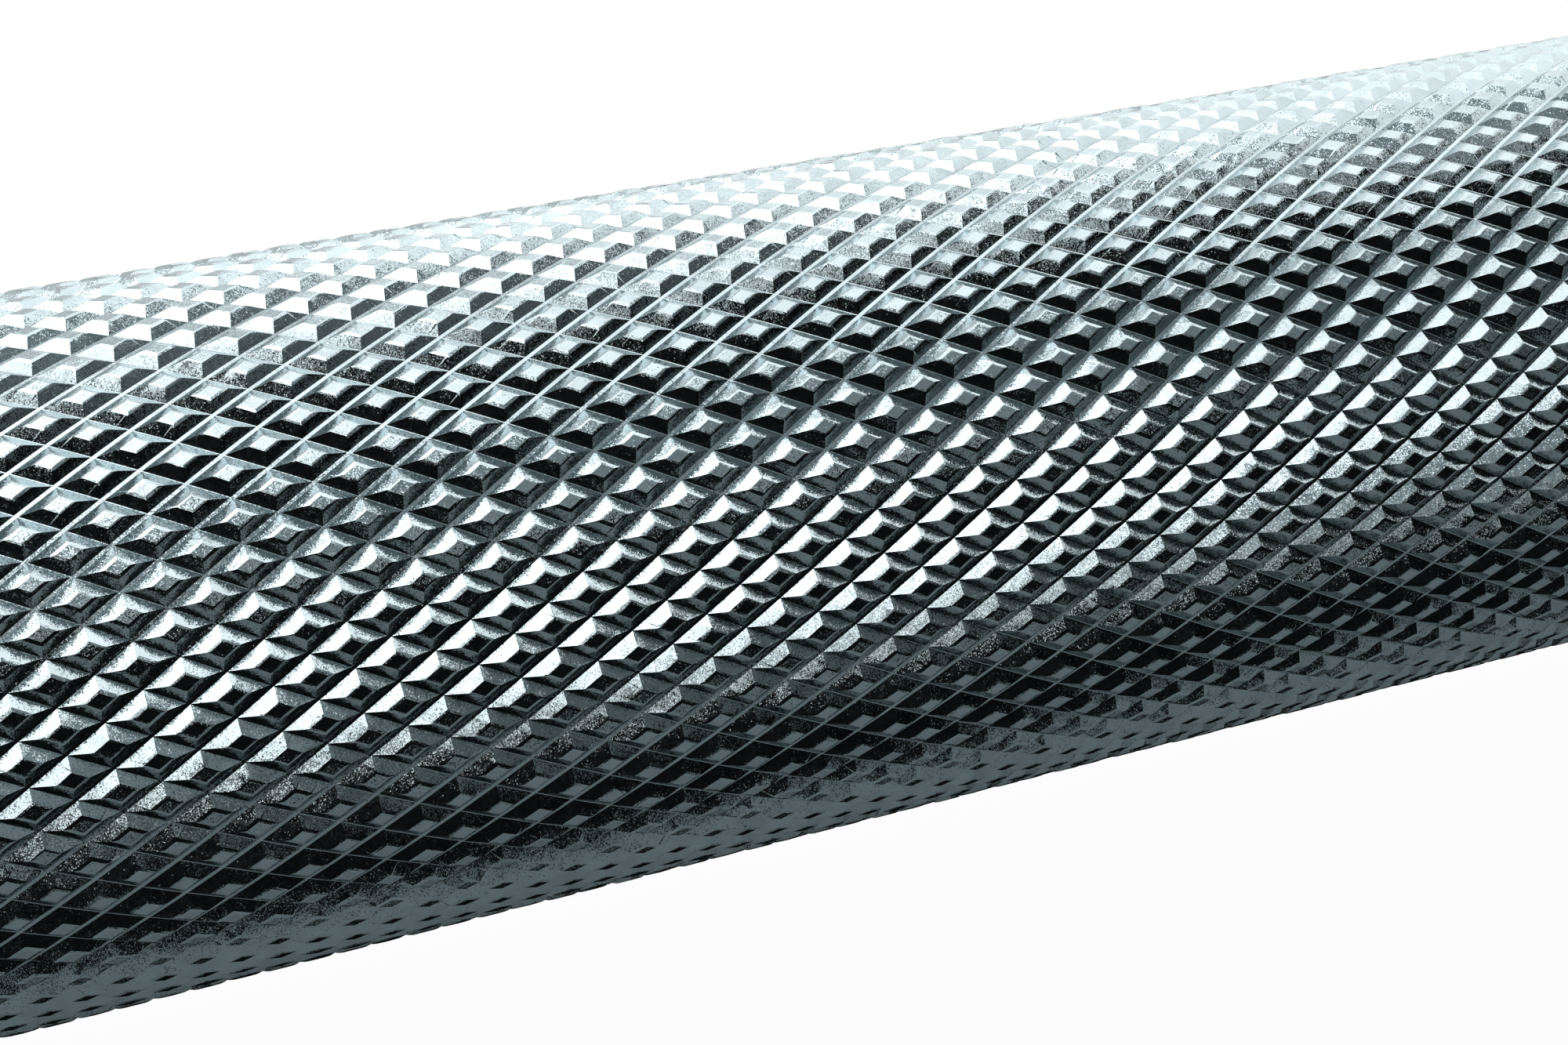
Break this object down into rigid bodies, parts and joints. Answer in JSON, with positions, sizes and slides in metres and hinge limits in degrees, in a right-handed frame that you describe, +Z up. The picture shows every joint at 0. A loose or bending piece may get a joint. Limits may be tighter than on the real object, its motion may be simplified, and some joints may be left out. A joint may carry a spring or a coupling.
{
  "type": "olympic barbell",
  "caption": "Straight steel barbell with diamond-knurled grips and, on each end, a freely revolving sleeve with a stop collar for weight plates.",
  "frame": {"origin": "middle of the bar, on its axis", "axes": "+X along the bar towards the right-hand sleeve, +Z up, the bar is round about X"},
  "size_m": [2.2, 0.074, 0.074],
  "materials": {
    "shaft_steel": "bright zinc over knurled steel",
    "sleeve_chrome": "hard chrome, fine turned lines",
    "bronze": "oiled bearing bronze",
    "bearing_steel": "ground bearing steel",
    "cage_steel": "pressed sheet steel",
    "spring_steel": "black phosphated spring steel",
    "seal_rubber": "matt black",
    "cap_aluminium": "turned satin"
  },
  "bodies": {
    "shaft_assembly": {"shaft": "shaft_steel", "left_inner_thrust_washer": "bronze", "left_outer_thrust_washer": "bearing_steel", "left_shaft_retaining_ring": "spring_steel", "right_inner_thrust_washer": "bronze", "right_outer_thrust_washer": "bearing_steel", "right_shaft_retaining_ring": "spring_steel"},
    "left_sleeve_assembly": {"left_sleeve": "sleeve_chrome", "left_collar": "sleeve_chrome", "left_dust_seal": "seal_rubber", "left_inner_bushing": "bronze", "left_outer_bushing": "bronze", "left_inner_bearing_cup": "bearing_steel", "left_outer_bearing_cup": "bearing_steel", "left_end_cap": "cap_aluminium", "left_cap_retaining_ring": "spring_steel"},
    "left_bearing_cages": {"left_inner_bearing_cage": "cage_steel", "left_inner_bearing_rollers": "bearing_steel", "left_outer_bearing_cage": "cage_steel", "left_outer_bearing_rollers": "bearing_steel"},
    "right_sleeve_assembly": {"right_sleeve": "sleeve_chrome", "right_collar": "sleeve_chrome", "right_dust_seal": "seal_rubber", "right_inner_bushing": "bronze", "right_outer_bushing": "bronze", "right_inner_bearing_cup": "bearing_steel", "right_outer_bearing_cup": "bearing_steel", "right_end_cap": "cap_aluminium", "right_cap_retaining_ring": "spring_steel"},
    "right_bearing_cages": {"right_inner_bearing_cage": "cage_steel", "right_inner_bearing_rollers": "bearing_steel", "right_outer_bearing_cage": "cage_steel", "right_outer_bearing_rollers": "bearing_steel"}
  },
  "joints": [
    {"name": "left_sleeve_spin", "type": "hinge", "parent": "shaft_assembly", "child": "left_sleeve_assembly", "pos_m": [-0.8775, 0, 0], "axis": [1, 0, 0], "continuous": true},
    {"name": "left_cage_spin", "type": "hinge", "parent": "shaft_assembly", "child": "left_bearing_cages", "pos_m": [-0.8775, 0, 0], "axis": [1, 0, 0], "continuous": true},
    {"name": "right_sleeve_spin", "type": "hinge", "parent": "shaft_assembly", "child": "right_sleeve_assembly", "pos_m": [0.8775, 0, 0], "axis": [1, 0, 0], "continuous": true},
    {"name": "right_cage_spin", "type": "hinge", "parent": "shaft_assembly", "child": "right_bearing_cages", "pos_m": [0.8775, 0, 0], "axis": [1, 0, 0], "continuous": true}
  ],
  "couplings": [
    {"joint": "left_cage_spin", "follows": "left_sleeve_spin", "ratio": 0.54611},
    {"joint": "right_cage_spin", "follows": "right_sleeve_spin", "ratio": 0.54611}
  ]
}
